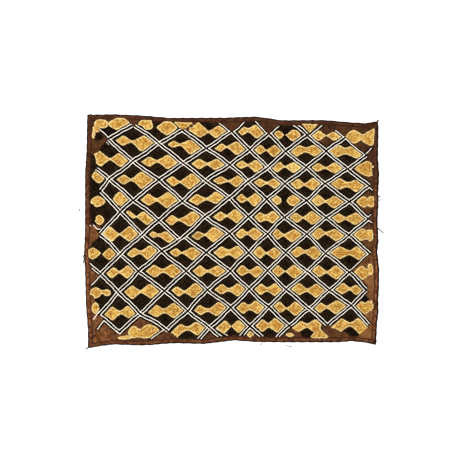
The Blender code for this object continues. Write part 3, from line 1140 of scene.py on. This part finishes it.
def plant_pile(cells):
    """The points where tufts stand, with how light and how near its patch's rim each one is. Tufts
    at the rim of the ochre are drawn up into one even row along it."""
    points = tuft_grid()
    ochre_depths = read_pattern(cells, points)[1]
    probes = ((RIM_PROBE, 0), (0, RIM_PROBE))
    further = [read_pattern(cells, points + probe)[1] for probe in probes]
    slope = np.column_stack([(depths - ochre_depths) / RIM_PROBE for depths in further])
    steepness = np.linalg.norm(slope, axis=1)
    clear_slope = (steepness > LEAST_STEEPNESS) & (steepness < MOST_STEEPNESS)
    at_rim = (np.abs(ochre_depths) < TUFT_PITCH * RIM_CATCH) & clear_slope
    pull = (RIM_ROW - ochre_depths[at_rim]) / steepness[at_rim]
    points[at_rim] += slope[at_rim] / steepness[at_rim, None] * pull[:, None]
    letters, ochre_depths, band_depths, tones = read_pattern(cells, points)
    ochre = (letters == "O") & (ochre_depths > OCHRE_INSET)
    deep = (band_depths > BLACK_PILE_START) & (ochre_depths < -BLACK_INSET)
    black = (letters == "B") & deep & (seam_depth(points) > BLACK_SEAM_GAP)
    moved = points + np.column_stack(wander(*points.T))
    placed = np.column_stack((moved, np.full(len(points), GROUND_TOP)))
    tone = DRAWS.normal(0, TUFT_TONE_SPREAD, len(points)) + tones
    rim = np.clip(1.7 - ochre_depths / RIM_WIDTH, 0, 1)
    off_tone = np.zeros(len(points))
    for x, y, half_width, half_height, change in OFF_TONES:
        near = np.abs(points - (x, y)) < (half_width, half_height)
        off_tone[np.all(near, axis=1)] = change
    pale = np.maximum(off_tone, 0) * PALEST
    dull = np.maximum(-off_tone, 0) * DULLEST
    values = {"tone": tone, "rim": rim, "pale": pale, "dull": dull}
    return placed, ochre, black, values


def grid_lines(hem_width, length):
    """The lines of the ground's mesh across one way, each a share of the way from one edge to the
    other and an inset from there."""
    insets = [share * hem_width for share in HEM_LINES]
    innermost = insets[-1]
    count = int(length / GROUND_STEP)
    lines = [(0.0, inset) for inset in insets]
    for number in range(1, count):
        share = number / count
        lines.append((share, innermost * (1 - 2 * share)))
    lines += [(1.0, -inset) for inset in reversed(insets)]
    return np.array(lines)


def ground_points():
    """The x and y of the ground's mesh, its columns from left to right and rows from top to
    bottom."""
    columns = grid_lines(SIDE_HEM_WIDTH, FLAT_SIZE[0] / MM)
    rows = grid_lines(END_HEM_WIDTH, FLAT_SIZE[1] / MM)
    across, along = np.meshgrid(np.arange(len(columns)), np.arange(len(rows)))
    share_x, inset_x = columns[across].transpose(2, 0, 1)
    share_y, inset_y = rows[along].transpose(2, 0, 1)
    x = (share_x - 0.5) * FLAT_SIZE[0] / MM
    # Each of x and y depends on the other, so they are settled in turn
    for _ in range(3):
        top = along_edge(TOP_EDGE, x)
        bottom = along_edge(BOTTOM_EDGE, x)
        y = top + (bottom - top) * share_y - inset_y
        left = along_edge(LEFT_EDGE, y)
        right = along_edge(RIGHT_EDGE, y)
        x = left + (right - left) * share_x + inset_x
    return x, y


def make_ground(cells):
    """The woven cloth with its turned hem: a closed thin sheet with a flat underside."""
    x, y = ground_points()
    share = hem_share(x, y)
    profile = np.array(HEM_PROFILE)
    z = np.interp(share, profile[:, 0], profile[:, 1])
    # Slow waves, of lengths that never fall in step
    swell = np.sin(x / 9.0 + np.sin(y / 21.0) * 2) + np.sin(y / 7.7 + np.sin(x / 17.0) * 2)
    rolled = np.clip(np.sin(np.pi * np.clip(share, 0, 1)), 0, 1)
    z += rolled * HEM_SWELL * swell
    z += np.where(share > HEM_END, CLOTH_SWELL * np.sin(x / 5.1) * np.sin(y / 6.3), 0)
    jag = EDGE_JAG * np.exp(-share * EDGE_WEAR)
    x = x + jag * np.sin(y / 2.9 + x)
    y = y + jag * np.sin(x / 3.1 + y)
    rows, columns = x.shape
    top = np.column_stack((x.ravel(), y.ravel(), z.ravel()))
    index = np.arange(rows * columns).reshape(rows, columns)
    corners = (index[:-1, :-1], index[1:, :-1], index[1:, 1:], index[:-1, 1:])
    faces = np.stack(corners, axis=-1).reshape(-1, 4).tolist()
    rim = np.concatenate((index[0, :], index[1:, -1], index[-1, -2::-1], index[-2:0:-1, 0]))
    outline = top[rim]
    towards = -outline[:, :2]
    feet = outline.copy()
    feet[:, :2] += towards / np.linalg.norm(towards, axis=1)[:, None] * RIM_INSET
    feet[:, 2] = 0
    points = np.vstack((top, feet))
    first_foot = len(top)
    count = len(rim)
    for number in range(count):
        following = (number + 1) % count
        faces.append(
            (int(rim[number]), int(rim[following]), first_foot + following, first_foot + number)
        )
    faces.append([first_foot + number for number in reversed(range(count))])
    flat = points[:, :2]
    unmoved = flat - np.column_stack(wander(*flat.T))
    letters, _, band_depths, _ = read_pattern(cells, unmoved)
    inside = inside_cloth(FILLED_MARGIN)(flat)
    banded = inside & (band_depths < PILE_START)
    # Under the ochre pile the ground takes a darker ochre, painted shade in the gaps between the
    # tufts.
    ochre = (letters == "O") & ~banded
    black = (inside & (letters == "B")) | banded
    share = hem_share(*flat.T)
    hem = np.clip((HEM_END - share) * EDGE_WEAR, 0, 1)
    # The outer edge is dark, partly as dark thread and partly as painted shade on the rolled fold;
    # on the right edge the dark band is wider, as painted shadow on the side of the fold turned
    # from the lamp.
    dark_and_shaded_rim = np.where(flat[:, 0] > RIGHT_EDGE_START, SHADED_RIM_RIGHT, DARK_RIM)
    edge = np.clip((dark_and_shaded_rim - share) / DARK_RIM_FADE, 0, 1)
    seam = SEAM_DARKNESS * np.clip(1.5 - np.abs(share - SEAM_PLACE) / SEAM_SPREAD, 0, 1)
    values = {"ochre_under": ochre, "black_under": black, "hem": hem, "edge": edge, "seam": seam}
    ground = plain_mesh_object("raffia_ground", points, (), faces, values)
    ground.data.materials.append(ground_finish())
    ground.data.shade_smooth()
    return ground


def sew_hem():
    """Overcast stitches along the seam of the hem."""
    stitches = Lines()
    for edge, inset, upright in (
        (TOP_EDGE, -END_HEM_WIDTH, False),
        (BOTTOM_EDGE, END_HEM_WIDTH, False),
        (LEFT_EDGE, SIDE_HEM_WIDTH, True),
        (RIGHT_EDGE, -SIDE_HEM_WIDTH, True),
    ):
        places = np.array(edge, dtype=float)
        along = np.arange(places[0, 0] + HEM_CORNER, places[-1, 0] - HEM_CORNER, HEM_STEP)
        for place in along + DRAWS.normal(0, HEM_STEP_SPREAD, len(along)):
            seam = along_edge(edge, place) + inset
            ends = (
                (place - HEM_REACH, seam - HEM_REACH_OUT * inset),
                (place + HEM_REACH, seam + HEM_REACH_IN * inset),
            )
            if upright:
                ends = [(second, first) for first, second in ends]
            stitches.add(ends, HEM_STITCH_HEIGHT)
    return stitches


def lay_strands(name, table):
    """Thin loose strands, each a smooth curve through its points."""
    things = []
    material = strand_finish()
    for number, (thickness, points) in enumerate(table):
        edges = [(i, i + 1) for i in range(len(points) - 1)]
        strand = plain_mesh_object(f"{name}_{number + 1}", points, edges)
        things.append(grow_strand(strand, material, thickness))
    return things


def make_floor():
    directions = ((-1, -1), (1, -1), (1, 1), (-1, 1))
    corners = [(x * FLOOR_HALF_SIZE, y * FLOOR_HALF_SIZE, -FLOOR_DROP) for x, y in directions]
    floor = plain_mesh_object("floor", corners, (), ((0, 1, 2, 3),))
    whites = ((0.90, 0.90, 0.90, 1), (0.93, 0.93, 0.93, 1))
    floor.data.materials.append(mottled_finish("pale_floor", 0.9, 3, *whites))
    return floor


def make_lamp():
    """One large soft lamp above and to the left, aimed at the middle of the cloth."""
    lamp = bpy.data.lights.new("soft_box", "AREA")
    lamp.shape = "DISK"
    lamp.size = LAMP_SIZE
    lamp.energy = LAMP_POWER
    thing = bpy.data.objects.new("soft_box", lamp)
    thing.location = LAMP_PLACE
    thing.rotation_euler = (-Vector(LAMP_PLACE)).to_track_quat("-Z", "Y").to_euler()
    bpy.context.scene.collection.objects.link(thing)


def make_studio():
    scene = bpy.context.scene
    world = bpy.data.worlds.new("studio")
    world.use_nodes = True
    background = world.node_tree.nodes["Background"]
    background.inputs["Color"].default_value = (1, 1, 1, 1)
    background.inputs["Strength"].default_value = 1.0
    scene.world = world
    make_lamp()
    scene.view_settings.view_transform = "Standard"


def make_camera():
    camera = bpy.data.objects.new("camera", bpy.data.cameras.new("camera"))
    camera.data.lens = LENS
    camera.data.sensor_width = SENSOR
    camera.location = (CAMERA_X * MM, CAMERA_Y * MM, CAMERA_HEIGHT * MM)
    bpy.context.scene.collection.objects.link(camera)
    bpy.context.scene.camera = camera


def make_cloth():
    cells = make_cells()
    ground = make_ground(cells)
    placed, ochre, black, values = plant_pile(cells)
    leftwards = placed[:, 0] < 0
    ochre_material = ochre_finish()
    pieces = []
    for name, mask, material, slot, seed in (
        ("ochre_pile_left", ochre & leftwards, ochre_material, "ochre_pile", 10),
        ("ochre_pile_right", ochre & ~leftwards, ochre_material, "ochre_pile", 30),
        ("black_pile", black, black_finish(), "black_pile", 50),
    ):
        picked = {key: value[mask] for key, value in values.items()}
        points = plain_mesh_object(name, placed[mask], attributes=picked)
        pieces.append((grow_tufts(points, material, seed), slot))
    pale, dark = sew_bands(cells)
    chevrons = sew_chevrons(cells)
    dark_thread = dark_thread_finish()
    hem_thread = mottled_finish("hem_thread", 0.7, 5, seen(46, 26, 15), seen(96, 58, 34))
    for name, lines, material, slot, *sizes in (
        # piece, rows, material, slot, seed, step, length, thickness, rings, slant
        ("pale_stitches", pale, pale_thread_finish(), "pale_thread", 70, 2.2, 3.3, 1.88, 3, 0.14),
        ("dark_stitches", dark, dark_thread, "dark_thread", 80, 2.6, 3.8, 1.8, 2, 0.1),
        ("chevron_stitches", chevrons, dark_thread, "dark_thread", 90, 2.6, 3.8, 1.9, 2, 0.1),
        ("hem_stitches", sew_hem(), hem_thread, "raffia_ground", 95, 2.6, 3.2, 0.9, 3, 0.0),
    ):
        pieces.append((grow_stitches(lines.thing(name), material, *sizes), slot))
    strands = lay_strands("stray_strand", STRANDS) + lay_strands("faint_stitch", FAINT_STITCHES)
    pieces += [(strand, "dark_thread") for strand in strands]
    return ground, pieces


floor = make_floor()
ground, pieces = make_cloth()
make_studio()
make_camera()

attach(ground, "root")
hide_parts("cloth")
for piece, slot in pieces:
    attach(piece, "root")
